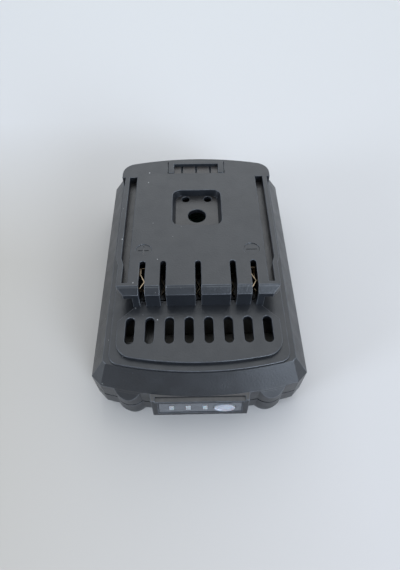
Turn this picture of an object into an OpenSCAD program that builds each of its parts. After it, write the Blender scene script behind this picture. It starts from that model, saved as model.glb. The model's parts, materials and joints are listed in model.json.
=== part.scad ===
// Slide-on battery pack for a power tool: two moulded shells, five cells, board, contacts, latch and gauge.
// Millimetres, +Z up. Origin on the floor under the middle of the pack, terminals and gauge towards -Y.

/* [Cells] */
// Diameter of one cell
cell_d = 18.1; // [17.9:0.1:18.3]
// Length of one cell
cell_l = 65; // [64:0.5:66]
// Gap between neighbouring cells
cell_gap = 0.4; // [0.3:0.1:0.7]
// Room under the cells
cell_lift = 0.3; // [0.1:0.1:0.6]
// Length of the end frame along a cell
holder_w = 4.5; // [3:0.5:5]
// Wall of the end frame past the cell row
holder_rim = 0.9; // [0.6:0.1:1.2]
// Height of the end frame over the cells
holder_cap = 0.6; // [0.4:0.1:0.8]
// Cut across the corners of the end frame
holder_cut = 3; // [2.8:0.1:3.6]
// Thickness of the nickel strips
strip_t = 0.2; // [0.1:0.05:0.3]
// Width of the nickel strips
strip_w = 9; // [6:0.5:11]
// Thickness of the insulating sheets and washers
sheet_t = 0.2; // [0.1:0.05:0.3]

/* [Housing] */
// Wall of both shells
wall_t = 2; // [1.6:0.1:2.2]
// Floor of the lower shell
floor_t = 2; // [1.6:0.1:2.6]
// Room between the cell ends and a side wall
end_room = 3.5; // [3.2:0.1:5]
// Room between the cell row and the front wall at its middle
front_room = 5.9; // [5.8:0.1:8]
// Room between the cell row and the back wall
back_room = 6.1; // [6:0.1:8]
// Room between the cells and the deck
top_room = 3.6; // [3.4:0.1:5]
// Height of the seam between the shells
seam_z = 9.8; // [9:0.1:10.4]
// Depth of the groove along the seam
seam_cut = 0.3; // [0.2:0.05:0.4]
// Radius of the bowed front
front_r = 133; // [120:1:160]
// Size of the cut-off front corners
front_cut = 2.5; // [2:0.1:3.5]
// Size of the cut-off back corners
back_cut = 6.2; // [5:0.1:6.6]
// Height of the sloped shoulder round the top
shoulder_h = 8.1; // [7:0.1:9]
// Run of the sloped shoulder
shoulder_run = 5; // [4:0.1:5.2]
// Height of the chamfer round the foot
foot_h = 3.4; // [2.5:0.1:4]
// Run of the chamfer round the foot
foot_run = 2.2; // [1.5:0.1:2.4]

/* [Platform] */
// Height of the platform over the deck
platform_h = 12; // [11.5:0.1:13]
// Length of the platform with its head
platform_l = 69; // [68:0.5:70]
// Distance from the tip of the front to the platform
shelf_l = 30; // [29.5:0.1:31]
// Width over both rail lips
lip_w = 59.2; // [58:0.2:60]
// Thickness of a rail lip
lip_t = 4.5; // [4.2:0.1:5]
// Narrowing of each lip at its front
lead_in = 0.9; // [0.5:0.1:1.2]
// Length of the narrow front stretch of a lip
lead_l = 12; // [10:0.5:14]
// Size of the cut across the front end of a lip
lead_cut = 2.3; // [1.5:0.1:2.6]
// Bevel along the platform's front edge
nose_bevel = 2.46; // [2:0.02:3]
// Outer wall of the coring channel in a lip
channel_wall = 1.9; // [1.6:0.1:2.2]
// Distance of the channel's inner edge from the middle
channel_x = 24.7; // [24.4:0.1:25]
// Depth of the coring channel
channel_d = 3.3; // [2.5:0.1:3.4]
// Distance of the channel from the front and from the head
channel_end = 3.8; // [3.6:0.1:4.5]
// Width of the head
head_w = 62; // [61:0.5:63]
// Length of the head
head_l = 11.3; // [11:0.1:12]
// Corner radius of the head
head_r = 6; // [4:0.5:7]
// Radius of the head's bowed back
head_bow = 121; // [110:1:150]
// Diameter of the two sunk discs for the polarity signs
mark_d = 5.8; // [5:0.1:6.4]
// Depth of the sunk discs
mark_sink = 0.25; // [0.2:0.05:0.4]
// Distance of the sunk discs from the platform's front
mark_y = 18.2; // [17.5:0.1:19]

/* [Shelf] */
// Width of the outer step
step_w = 62; // [61:0.5:63]
// Height of the outer step over the deck
step_h = 0.9; // [0.6:0.1:1.2]
// Set-back of the outer step from the front
step_back = 5.2; // [5.2:0.1:5.8]
// Corner radius of the outer step
step_r = 4; // [3:0.5:6]
// Width of the vented shelf
shelf_w = 57.4; // [56:0.2:58]
// Height of the shelf over the deck
shelf_h = 2.5; // [2.2:0.1:2.8]
// Set-back of the shelf from the front
shelf_back = 7.7; // [7:0.1:8.5]
// Corner radius of the shelf
shelf_r = 6.5; // [5:0.5:8]
// Size of the cut across the shelf's back corners
shelf_cut = 6; // [5.8:0.1:6.6]
// Number of vents
vent_n = 8; // [6:1:8]
// Pitch of the vents
vent_pitch = 6.9; // [6.2:0.1:7]
// Width of a vent
vent_w = 3.2; // [2.6:0.1:3.4]
// Length of a vent
vent_l = 10.3; // [8:0.1:11]
// Distance of the vents' middle from the platform
vent_y = 9.9; // [9:0.1:10.5]

/* [Pocket] */
// Width of the pocket in the platform
pocket_w = 19.4; // [18:0.1:20]
// Length of the pocket
pocket_l = 19.1; // [18:0.1:20]
// Depth of the pocket
pocket_d = 3.3; // [2.5:0.1:3.8]
// Corner radius of the pocket
pocket_r = 3; // [2:0.1:4]
// Draft of the pocket's side walls
pocket_draft = 1.2; // [0.8:0.1:1.5]
// Distance of the pocket's middle from the platform's front
pocket_y = 40.1; // [39:0.1:41]
// Diameter of the two locating holes
locate_d = 3.1; // [2.6:0.1:3.4]
// Distance between the two locating holes
locate_gap = 9; // [8:0.1:10]
// Distance of the locating holes behind the pocket's middle
locate_y = 7.6; // [7:0.1:7.7]
// Diameter of the driver hole over the centre screw
driver_d = 7.2; // [6.4:0.1:7.6]
// Distance of the driver hole in front of the pocket's middle
driver_y = 1.7; // [1:0.1:2.5]

/* [Terminals] */
// Width of a terminal slot
slot_w = 2.1; // [2:0.05:2.3]
// Length of a terminal slot
slot_l = 13.2; // [12.8:0.1:14]
// Distance of the signal slots from the middle
signal_x = 12.5; // [12:0.1:13]
// Distance of the power slots from the middle
power_x = 19.9; // [19.6:0.1:20]
// Sheet of the contacts
leaf_t = 0.3; // [0.2:0.05:0.35]
// Height of one leaf of a power contact
power_leaf = 2.4; // [2:0.1:2.6]
// Height of one leaf of a signal contact
signal_leaf = 1.2; // [1:0.1:1.3]
// Gap between the power contacts' tops and the platform's top
power_drop = 2.6; // [2.3:0.1:3]
// Gap between the signal contacts' tops and the platform's top
signal_drop = 6.5; // [6:0.1:6.8]
// Height of the contact carrier
carrier_h = 2.4; // [2:0.1:2.6]

/* [Board] */
// Thickness of the tray over the cells
tray_t = 1.6; // [1.2:0.1:1.6]
// Height of the tray's standoffs
standoff_h = 1.6; // [1.2:0.1:1.8]
// Thickness of the protection board
board_t = 1.6; // [1:0.1:1.6]
// Width of the protection board
board_w = 41.9; // [41.4:0.1:42.4]
// Room between the board's edge and the platform's side wall
board_side = 0.55; // [0.4:0.05:0.7]
// Length of the protection board
board_l = 51; // [50:0.5:52]

/* [Latch] */
// Width of the latch slot
latch_w = 24; // [22:0.5:25]
// Length of the latch slot
latch_l = 7; // [6.8:0.1:7.2]
// Rise of the latch over the platform
latch_rise = 0.6; // [0.3:0.1:1]
// Travel of the latch
latch_travel = 3; // [2:0.5:3]
// Running gap round the latch
latch_gap = 0.3; // [0.2:0.05:0.4]
// Width of one ramp at the latch's end
ear_w = 2.4; // [2:0.1:3]
// Height of the thumb pad
pad_h = 6; // [5:0.5:6]
// Depth of the panel between the ramps
panel_dip = 0.9; // [0.6:0.1:1.2]
// Mean diameter of a latch spring
spring_d = 3.8; // [3.4:0.1:3.9]
// Wire of a latch spring
spring_wire = 0.5; // [0.4:0.05:0.6]
// Turns of a latch spring
spring_n = 5; // [4:1:6]
// Distance of a latch spring from the middle
spring_x = 7; // [6:0.5:8]

/* [Gauge] */
// How far the gauge stands out from the front
bay_reach = 3.8; // [3.4:0.1:4.2]
// Width of the gauge where it meets the front wall
bay_w = 34.4; // [34:0.2:36]
// How far each side of the gauge draws in towards its front
bay_taper = 0.8; // [0.5:0.1:1]
// Height of the gauge's front edge over the seam
bay_lift = 1.2; // [0.9:0.1:1.4]
// Lean of the gauge's face
gauge_lean = 18; // [15:1:20]
// Drop of the ledge over the gauge
ledge_drop = 0.7; // [0.5:0.1:0.9]
// Width of the facia
facia_w = 28.8; // [28.4:0.1:29.2]
// Height of the facia
facia_h = 4.6; // [4.5:0.1:4.9]
// Thickness of the facia
facia_t = 1.2; // [1:0.1:1.4]
// Width of a charge window
window_w = 1.8; // [1.5:0.1:2]
// Height of a charge window
window_h = 2.2; // [1.8:0.1:2.6]
// Pitch of the charge windows
window_pitch = 5.8; // [5.4:0.1:6]
// Place of the middle charge window
window_x = -4.1; // [-4.6:0.1:-3.8]
// Width of the gauge button
button_w = 7.3; // [6.8:0.1:7.6]
// Height of the gauge button
button_h = 3.6; // [3.4:0.1:3.7]
// Place of the gauge button
button_x = 8.4; // [8:0.1:9]
// How far the button stands out of the facia
button_out = 0.7; // [0.4:0.1:0.9]
// Travel of the gauge button
button_travel = 0.6; // [0.4:0.1:0.7]
// Thickness of the gauge board
gauge_board_t = 1; // [0.8:0.1:1.2]

/* [Screws] */
// Distance of the housing screws from the middle
screw_x = 24.5; // [24:0.1:25]
// Thread diameter of a housing screw
screw_d = 3; // [2.5:0.1:3]
// Head diameter of a housing screw
screw_head_d = 4.6; // [4.2:0.1:4.8]
// Depth of the head's recess under the floor
screw_sink = 3.2; // [2.6:0.1:4]
// Outer diameter of the screw bosses
boss_d = 6; // [5.6:0.1:6]
// Radius of the front lobes round the screws
lobe_r = 6; // [5:0.1:7]
// How far a front lobe stands out
lobe_out = 2.1; // [1.5:0.1:2.4]
// Taper of a front lobe at its foot
lobe_foot = 0.8; // [0.6:0.1:1]
// Thread diameter of a board screw
small_screw_d = 2; // [1.6:0.1:2.2]

/* [Hidden] */
$fn = 48;

// Small gap between pieces that touch, and overlap of cuts past a face
fit = 0.1;
over = 1;
// Room that is larger than the whole pack
span = 400;

// The cell row and the housing round it
cell_n = 5;
cell_r = cell_d / 2;
cell_edge = 0.4;
cell_crimp = 4.5;
cell_button_r = 3;
pitch = cell_d + cell_gap;
row_l = cell_n * pitch;
body_w = cell_l + 2 * (end_room + wall_t);
body_l = row_l + front_room + back_room + 2 * wall_t;
front_y = bay_reach - (body_l + bay_reach) / 2;
back_y = front_y + body_l;
row_y = front_y + wall_t + front_room + row_l / 2;
cell_z = floor_t + cell_lift + cell_r;
cell_top = cell_z + cell_r;
deck_in = cell_top + top_room;
deck_z = deck_in + wall_t;
shoulder_z = deck_z - shoulder_h;
top_z = deck_z + platform_h;
room_top = top_z - wall_t;
side_x = body_w / 2;
bow_y = front_y + front_r;

// The platform, measured from its front face
plat_y = front_y + shelf_l;
head_y = plat_y + platform_l;
head_front = head_y - head_l;
shelf_z = deck_z + shelf_h;
pocket_mid = plat_y + pocket_y;
pocket_floor = top_z - pocket_d;
room_x = board_w / 2 + board_side;
core_w = 2 * (room_x + wall_t);
slot_spots = [-power_x, -signal_x, 0, signal_x, power_x];

// Levels inside
holder_top = cell_top + holder_cap;
tray_z = holder_top + strip_t + fit;
tray_top = tray_z + tray_t;
board_z = tray_top + standoff_h;
board_top = board_z + board_t;
board_gap = 0.6;
board_y = plat_y + wall_t + board_gap;
tray_inset = 1.5;
tray_w = cell_l - 2 * tray_inset;
tray_front = plat_y + over;
rib_t = 1.6;
rib_x = (core_w + tray_w) / 4;
bead_r = 1.2;
thermistor_y = (cell_y(2) + cell_y(3)) / 2;

// The contacts: a leaf bends at these distances from its root
contact_end = 1.6;
contact_back = plat_y + slot_l - contact_end;
contact_w = slot_w - 2 * fit;
leaf_bends = [2.6, 5.8, 8.6];

// The latch
latch_y = head_y - wall_t - latch_l;
pad_top = room_top - latch_gap;
pad_z = pad_top - pad_h;
bar_l = 1.6;
pad_sink = 1.4;
skirt_t = 1;
cup_h = 1;
cup_wall = 0.6;
cup_r = (spring_d + spring_wire) / 2 + 3 * fit + cup_wall;
spring_z = tray_top + fit;
spring_top = pad_z - fit;
spring_y = latch_y + latch_l - latch_gap - skirt_t - cup_r - fit;

// The gauge: a leaning face whose foot is at the seam, and depths into the housing behind it
bay_front = front_y - bay_reach;
bay_back = front_y + wall_t;
bay_lip = 0.6;
bay_rise = 2;
bay_foot = foot_h + bay_rise;
bay_z = seam_z + bay_lift;
ledge_rim = 1.2;
face_rise = shoulder_z - bay_z;
face_run = face_rise * tan(gauge_lean);
gauge_z = bay_z + face_rise / 2 - ledge_drop / 2;
gauge_y = bay_front + face_run / 2 - ledge_drop / 2 * tan(gauge_lean);
facia_in = 0.3;
facia_back = facia_in + facia_t;
seat_w = 0.3;
bay_hole_w = facia_w - 2 * seat_w;
bay_hole_h = facia_h - 2 * seat_w;
window_spots = [for (i = [-1 : 1]) window_x + i * window_pitch];
pipe_l = 2.8;
pipe_bar = 1.2;
pipe_back = facia_back + pipe_l;
led_w = 1.6;
led_h = 1.2;
led_t = 0.8;
gauge_board_in = pipe_back + fit + led_t;
gauge_board_back = gauge_board_in + gauge_board_t;
switch_w = 4.6;
switch_h = 3.6;
switch_t = 2;
switch_floor = 0.4;
switch_front = gauge_board_in - switch_t;
plunger_r = 1;
plunger_in = 0.8;
flange_t = 0.6;
flange_rim = 0.3;
flange_back = facia_back + fit + flange_t;
stem_end = switch_front - button_travel - fit;

// The screws
lobe_edge = bow_y - sqrt(front_r * front_r - screw_x * screw_x);
front_screw_y = lobe_edge + wall_t;
boss_sink = 0.5;
back_screw_y = back_y - wall_t - boss_d / 2 + boss_sink;
screw_spots = [for (side = [-1, 1]) for (y = [front_screw_y, back_screw_y]) [side * screw_x, y]];
screw_head_h = 1.8;
screw_tip = shoulder_z - wall_t;
standoff_d = 3 * small_screw_d;
small_x = 16;
small_front = 14;
small_back = 7;
small_y = [board_y + small_front, board_y + board_l - small_back];
small_spots = [for (side = [-1, 1]) for (y = small_y) [side * small_x, y]];
centre_spot = [0, pocket_mid - driver_y];
board_spots = concat(small_spots, [centre_spot]);

// The two strips that run from the end cells to the board, clear of the standoffs
lead_reach = 3;
lead_gap = 1;
lead_x = board_w / 2 - lead_gap - strip_w / 4;
first_riser = tray_front - fit - strip_t;
first_end = board_y + lead_reach;
last_riser = cell_y(cell_n) - strip_w / 4;
last_end = board_y + board_l - small_back + standoff_d / 2 + lead_gap;

shell_colour = "#5a5f63";
dark_plastic = "#2c2e31";
steel_colour = "#b9bcbf";
nickel_colour = "#c4c0b4";
brass_colour = "#c9a566";
board_colour = "#24523a";
sleeve_colour = "#55534f";
paper_colour = "#d9d3c1";
white_colour = "#e4e6e8";

// Distance of the outer wall from the line of its upright stretch, at height z
function wall_in(z) = z < foot_h ? foot_run * (1 - z / foot_h)
    : z > shoulder_z ? shoulder_run * (z - shoulder_z) / shoulder_h : 0;

// Section of the housing as [distance, height], from the axis at `from` out to the wall at `reach`
// The bowed front bends at heights that differ by `ease`, so that no four faces meet in one point.
function outer_section(from, reach, run, ease) = [[from, 0], [reach - run, 0], [reach, foot_h + ease],
    [reach, seam_z - seam_cut - ease], [reach - seam_cut, seam_z], [reach, seam_z + seam_cut + ease],
    [reach, shoulder_z - ease], [reach - wall_in(deck_z), deck_z], [from, deck_z]];
function inner_section(from, reach, ease) = [[from, floor_t], [reach - wall_t - wall_in(floor_t), floor_t],
    [reach - wall_t, foot_h + ease], [reach - wall_t, shoulder_z - ease],
    [reach - wall_t - wall_in(deck_in), deck_in], [from, deck_in]];
function wall_section(from, reach, inner, ease) = inner ? inner_section(from, reach, ease)
    : outer_section(from, reach, foot_run, ease);

// Directions and distances of the straight walls: sides, back and cut corners
corner_y = bow_y - sqrt(front_r * front_r - side_x * side_x);
walls = [[0, side_x], [180, side_x], [90, back_y],
    [45, (side_x + back_y - back_cut) / sqrt(2)], [135, (side_x + back_y - back_cut) / sqrt(2)],
    [-45, (side_x - corner_y - front_cut) / sqrt(2)], [-135, (side_x - corner_y - front_cut) / sqrt(2)]];

// Outline with a bowed tip at the origin, two round corners and a straight end at y = l
function arc(cx, cy, r, from, to, n) = [for (i = [0 : n]) let (a = from + (to - from) * i / n)
    [cx + r * cos(a), cy + r * sin(a)]];
function bowed_outline(w, l, bow, r) = let (cx = w / 2 - r,
    cy = bow - sqrt(pow(bow - r, 2) - cx * cx), a = atan2(cy - bow, cx))
    concat(arc(0, bow, bow, -180 - a, a, 16), arc(cx, cy, r, a, 0, 6), [[w / 2, l], [-w / 2, l]],
        arc(-cx, cy, r, -180, -180 - a, 6));

// Plate with a bowed tip at y = tip that ends at y = base
module bowed_plate(w, tip, base, bow, r, z0, z1) {
    translate([0, tip, z0])
        mirror([0, base > tip ? 0 : 1, 0])
            linear_extrude(z1 - z0) polygon(bowed_outline(w, abs(base - tip), bow, r));
}

// Box between two corners
module block(low, high) {
    translate(low) cube(high - low);
}

// Upright box with round corners, centred in plan
module round_block(w, l, h, r) {
    translate([-w / 2 + r, -l / 2, 0]) cube([w - 2 * r, l, h]);
    translate([-w / 2, -l / 2 + r, 0]) cube([w, l - 2 * r, h]);
    for (x = [-1, 1]) for (y = [-1, 1])
        translate([x * (w / 2 - r), y * (l / 2 - r), 0]) cylinder(h = h, r = r);
}

// Upright slot with round ends along Y, centred in plan
module slot(w, l, h) {
    translate([-w / 2, -(l - w) / 2, 0]) cube([w, l - w, h]);
    for (y = [-1, 1]) translate([0, y * (l - w) / 2, 0]) cylinder(h = h, d = w);
}

// The housing's body: every wall has the same section, and the bowed front turns it
module body_form(inner) {
    intersection() {
        intersection_for (w = walls)
            rotate([90, 0, w[0]])
                linear_extrude(span, center = true) polygon(wall_section(-span, w[1], inner, 0));
        translate([0, bow_y, 0])
            rotate_extrude($fn = 180) polygon(wall_section(0, front_r, inner, fit / 2));
    }
}

module above(z) {
    translate([-span / 2, -span / 2, z]) cube(span);
}

module below(z) {
    translate([-span / 2, -span / 2, z - span]) cube(span);
}

// Half-round lobes in front of the screws, under the same sloped shoulder
module lobes() {
    reach = front_r + lobe_out + over;
    slope = shoulder_h / shoulder_run;
    for (side = [-1, 1])
        intersection() {
            translate([side * screw_x, lobe_edge - lobe_out + lobe_r, 0])
                rotate_extrude() polygon(outer_section(0, lobe_r, lobe_foot, fit));
            translate([0, bow_y, 0])
                rotate_extrude($fn = 180)
                    polygon([[0, 0], [reach, 0], [reach, shoulder_z - slope * (lobe_out + over)],
                        [front_r - shoulder_run, deck_z], [0, deck_z]]);
            translate([0, lobe_edge, 0]) block([-span / 2, -lobe_r, 0], [span / 2, 2 * wall_t, span]);
        }
}

// Bosses round the housing screws, joined to the walls
module bosses(z0, z1) {
    for (spot = screw_spots) translate([spot[0], spot[1], z0]) cylinder(h = z1 - z0, d = boss_d);
}

// Moves a piece drawn on the gauge's face: x along it, y into the housing, z up the face
module on_gauge() {
    translate([0, gauge_y, gauge_z]) rotate([-gauge_lean, 0, 0]) children();
}

// Box on the gauge's face, centred at x, between two depths
module gauge_block(x, w, h, from, to) {
    translate([x - w / 2, from, -h / 2]) cube([w, to - from, h]);
}

// Oval prism on the gauge's face
module gauge_oval(w, h, from, to) {
    translate([button_x, to, 0])
        rotate([90, 0, 0])
            linear_extrude(to - from) polygon([for (a = [0 : 9 : 351]) [w / 2 * cos(a), h / 2 * sin(a)]]);
}

// Leaning bay of the gauge, across the seam, with a sunk ledge on top and tapered sides
module gauge_bay() {
    tip = bay_w / 2 - bay_taper;
    root = bay_w / 2 + bay_taper * wall_t / bay_reach;
    difference() {
        intersection() {
            rotate([90, 0, 90])
                linear_extrude(span, center = true)
                    polygon([[bay_back, shoulder_z], [bay_front + face_run, shoulder_z], [bay_front, bay_z],
                        [bay_front, bay_z - bay_lip], [front_y, bay_foot], [bay_back, bay_foot]]);
            linear_extrude(span)
                polygon([[-tip, bay_front], [tip, bay_front], [root, bay_back], [-root, bay_back]]);
        }
        block([-facia_w / 2 - ledge_rim, bay_front - over, shoulder_z - ledge_drop],
            [facia_w / 2 + ledge_rim, front_y, span]);
    }
}

// Opening for the facia and, behind a narrow seat, for the gauge's board
module gauge_opening() {
    on_gauge() {
        gauge_block(0, facia_w + 2 * fit, facia_h + 2 * fit, -over - bay_reach, facia_back + fit);
        gauge_block(0, bay_hole_w, bay_hole_h, 0, gauge_board_back + wall_t);
    }
}

module lower_housing() {
    color(shell_colour)
        difference() {
            intersection() {
                union() {
                    body_form(false);
                    lobes();
                    gauge_bay();
                }
                below(seam_z);
            }
            difference() {
                body_form(true);
                bosses(0, deck_z);
            }
            gauge_opening();
            for (spot = screw_spots) translate([spot[0], spot[1], -over]) {
                cylinder(h = span, d = screw_d + 4 * fit);
                cylinder(h = over + screw_sink, d = screw_head_d + 4 * fit);
            }
        }
}

// Plan of one rail lip on the right, or of the same lip drawn in by `inset`
function lip_outline(inset, inner_x, from, to) = let (x = lip_w / 2 - inset)
    [[inner_x, from], [x - lead_in, from], [x - lead_in, plat_y + lead_l], [x, plat_y + lead_l + 3 * lead_in],
        [x, to], [inner_x, to]];

module lips() {
    for (side = [0, 1]) mirror([side, 0, 0])
        translate([0, 0, top_z - lip_t])
            linear_extrude(lip_t)
                difference() {
                    polygon(lip_outline(0, 0, plat_y, head_front + over));
                    translate([lip_w / 2 - lead_in, plat_y])
                        rotate(45) square(lead_cut * sqrt(2), center = true);
                }
}

module channels() {
    for (side = [0, 1]) mirror([side, 0, 0])
        translate([0, 0, top_z - channel_d])
            linear_extrude(channel_d + over)
                polygon(lip_outline(channel_wall, channel_x, plat_y + channel_end, head_front));
}

module platform() {
    difference() {
        union() {
            block([-core_w / 2, plat_y, deck_in], [core_w / 2, head_front + over, top_z]);
            lips();
            bowed_plate(head_w, head_y, head_front, head_bow, head_r, deck_in, top_z);
        }
        translate([0, plat_y, top_z])
            rotate([45, 0, 0]) cube([span, nose_bevel * sqrt(2), nose_bevel * sqrt(2)], center = true);
    }
}

// Pocket with drafted side walls, or the same form grown by `grow` all round
module pocket(grow, floor_z) {
    w = pocket_w + 2 * grow;
    l = pocket_l + 2 * grow;
    hull() {
        translate([0, pocket_mid, floor_z])
            round_block(w - 2 * pocket_draft, l, fit, pocket_r + grow, $fn = 32);
        translate([0, pocket_mid, top_z]) round_block(w, l, over, pocket_r + grow, $fn = 32);
    }
}

// Shelf before the platform, with its back corners cut, or the same form drawn in by `inset`
module shelf(inset, base, z0, z1) {
    cut = shelf_cut * sqrt(2) + 2 * inset;
    difference() {
        bowed_plate(shelf_w - 2 * inset, front_y + shelf_back + inset, base, front_r - shelf_back - inset,
            shelf_r - inset, z0, z1);
        for (side = [-1, 1])
            translate([side * shelf_w / 2, plat_y, z0]) rotate(45) cube([cut, cut, span], center = true);
    }
}

// Rooms inside the upper shell: over the cells, under the platform and under the shelf
module upper_rooms() {
    difference() {
        union() {
            body_form(true);
            block([-room_x, plat_y + wall_t, deck_in - over], [room_x, head_y - wall_t, room_top]);
            shelf(wall_t, plat_y + over, deck_in - over, shelf_z - wall_t);
        }
        bosses(0, deck_z);
        pocket(wall_t, pocket_floor - wall_t);
        for (side = [-1, 1])
            translate([side * rib_x, row_y, 0])
                block([-rib_t / 2, -row_l / 4, tray_top], [rib_t / 2, row_l / 4, deck_z]);
    }
}

module upper_housing() {
    color(shell_colour)
        difference() {
            union() {
                intersection() {
                    union() {
                        body_form(false);
                        lobes();
                        gauge_bay();
                    }
                    above(seam_z);
                }
                bowed_plate(step_w, front_y + step_back, head_front, front_r - step_back, step_r,
                    deck_in, deck_z + step_h);
                shelf(0, plat_y + fit, deck_in, shelf_z);
                platform();
            }
            upper_rooms();
            pocket(0, pocket_floor);
            channels();
            gauge_opening();
            for (x = slot_spots)
                translate([x, plat_y, shelf_z]) slot(slot_w, 2 * slot_l, span);
            for (side = [-1, 1])
                translate([side * locate_gap / 2, pocket_mid + locate_y, room_top - pocket_d - over])
                    cylinder(h = span, d = locate_d);
            translate([centre_spot[0], centre_spot[1], room_top - pocket_d - over])
                cylinder(h = span, d = driver_d);
            for (side = [-1, 1])
                translate([side * power_x, plat_y + mark_y, top_z - mark_sink])
                    cylinder(h = span, d = mark_d);
            for (i = [0 : vent_n - 1])
                translate([(i - (vent_n - 1) / 2) * vent_pitch, plat_y - vent_y, deck_in - over])
                    slot(vent_w, vent_l, span);
            block([-latch_w / 2, latch_y, room_top - over], [latch_w / 2, latch_y + latch_l, span]);
            block([-latch_w / 2 - over, head_y - wall_t - over, pad_z - latch_travel - latch_gap],
                [latch_w / 2 + over, head_y + over, room_top]);
            for (spot = screw_spots) translate([spot[0], spot[1], 0])
                cylinder(h = screw_tip + fit, d = screw_d);
        }
}

// Latch: two ramps, a low grooved panel between them, a bar behind it, a thumb pad at the back,
// and a skirt that covers the pad's opening from inside
module release_latch() {
    w = latch_w - 2 * latch_gap;
    front = latch_y + latch_gap;
    back = latch_y + latch_l - latch_gap;
    crown = top_z + latch_rise;
    panel_z = top_z - panel_dip;
    bar = back - bar_l;
    pad_back = head_y - pad_sink;
    groove_w = 0.6;
    groove_d = 1;
    groove_gap = 6;
    grip_n = 3;
    grip_out = 0.5;
    grip_h = 0.75;
    grip_end = 2;
    color(shell_colour) {
        difference() {
            block([-w / 2, front, pad_z], [w / 2, back, panel_z]);
            for (i = [-1 : 1])
                translate([i * groove_gap, 0, 0])
                    block([-groove_w / 2, front - over, panel_z - groove_d], [groove_w / 2, bar, span]);
        }
        block([-w / 2, bar, pad_z], [w / 2, back, crown]);
        for (side = [-1, 1])
            translate([side * (w - ear_w) / 2, 0, 0])
                rotate([90, 0, 90])
                    linear_extrude(ear_w, center = true)
                        polygon([[front, pad_z], [back, pad_z], [back, crown], [bar, crown],
                            [front, top_z]]);
        block([-w / 2, back - over, pad_z], [w / 2, pad_back, pad_top]);
        block([-w / 2, back - skirt_t, pad_z - latch_travel - latch_gap], [w / 2, back, pad_z + over]);
        for (i = [1 : grip_n])
            translate([0, pad_back, pad_z + i * pad_h / (grip_n + 1)])
                block([-w / 2 + grip_end, -over, -grip_h / 2], [w / 2 - grip_end, grip_out, grip_h / 2]);
    }
}

// Compression spring as one tube along a helix
module latch_spring(x) {
    steps = 12;
    sides = 6;
    count = spring_n * steps;
    low = spring_z + spring_wire / 2;
    rise = spring_top - spring_wire / 2 - low;
    rings = [for (i = [0 : count]) for (k = [0 : sides - 1])
        let (a = 360 * i / steps, b = 360 * k / sides, r = spring_d / 2 + spring_wire / 2 * cos(b))
            [r * cos(a), r * sin(a), low + rise * i / count + spring_wire / 2 * sin(b)]];
    skin = [for (i = [0 : count - 1]) for (k = [0 : sides - 1]) for (half = [0, 1])
        let (p = i * sides + k, q = i * sides + (k + 1) % sides)
            half == 0 ? [p, q, q + sides] : [p, q + sides, p + sides]];
    ends = [for (k = [1 : sides - 2]) for (far = [0, 1])
        far == 0 ? [0, k + 1, k] : [count * sides, count * sides + k, count * sides + k + 1]];
    color(steel_colour)
        translate([x, spring_y, 0]) polyhedron(rings, concat(skin, ends));
}

// Place of cell number i along the row, and the side of its positive end
function cell_y(i) = row_y + (i - (cell_n + 1) / 2) * pitch;
function plus_side(i) = i % 2 == 1 ? 1 : -1;

// Lays something drawn along +Z from the negative end at 0 on the axis of cell i
module along_cell(i) {
    translate([-plus_side(i) * cell_l / 2, cell_y(i), cell_z]) rotate([0, plus_side(i) * 90, 0]) children();
}

// Steel can with its crimped groove and positive button
module cell(i) {
    e = cell_edge;
    crimp = cell_l - cell_crimp;
    color(sleeve_colour)
        along_cell(i)
            rotate_extrude()
                polygon([[0, 0], [cell_r - e, 0], [cell_r, e], [cell_r, crimp], [cell_r - 2 * e, crimp + e],
                    [cell_r - 2 * e, crimp + 3 * e], [cell_r, crimp + 4 * e], [cell_r, cell_l - 2 * e],
                    [cell_r - e, cell_l - e], [cell_button_r, cell_l - e], [cell_button_r, cell_l],
                    [0, cell_l]]);
}

module cell_washers() {
    color(paper_colour)
        for (i = [1 : cell_n])
            along_cell(i)
                translate([0, 0, cell_l - cell_edge])
                    difference() {
                        cylinder(h = sheet_t, r = cell_r - cell_edge - fit);
                        translate([0, 0, -over]) cylinder(h = span, r = cell_button_r + fit);
                    }
}

// End frame with one bore for each cell
module cell_holder(side) {
    half = row_l / 2 + holder_rim;
    cut = half - holder_cut;
    color(dark_plastic)
        difference() {
            translate([side * (cell_l - holder_w) / 2, row_y, 0])
                rotate([90, 0, 90])
                    linear_extrude(holder_w, center = true)
                        polygon([[-cut, floor_t], [cut, floor_t], [half, floor_t + holder_cut],
                            [half, holder_top - holder_cut], [cut, holder_top], [-cut, holder_top],
                            [-half, holder_top - holder_cut], [-half, floor_t + holder_cut]]);
            for (i = [1 : cell_n])
                translate([0, cell_y(i), cell_z])
                    rotate([0, 90, 0]) cylinder(h = span, r = cell_r + fit, center = true);
        }
}

// Nickel plate on the ends of cells i to j, with a tab that folds over the end frame to x = tab_end
module nickel(side, i, j, tab_end) {
    outer = cell_l / 2;
    mid = (cell_y(i) + cell_y(j)) / 2;
    tab = [outer + strip_t, mid + strip_w / 4, holder_top + strip_t];
    color(nickel_colour)
        mirror([side > 0 ? 0 : 1, 0, 0]) {
            block([outer, cell_y(i) - strip_w / 2, cell_z - strip_w / 2],
                [outer + strip_t, cell_y(j) + strip_w / 2, cell_z + strip_w / 2]);
            block([outer, mid - strip_w / 4, cell_z], tab);
            block([tab_end, mid - strip_w / 4, holder_top], tab);
        }
}

// Ribbon with square bends between x0 and x1, along points [y, z]
module ribbon(x0, x1, route, t) {
    for (k = [0 : len(route) - 2]) {
        a = route[k];
        b = route[k + 1];
        block([x0, min(a[0], b[0]), min(a[1], b[1])], [x1, max(a[0], b[0]) + t, max(a[1], b[1]) + t]);
    }
}

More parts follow.
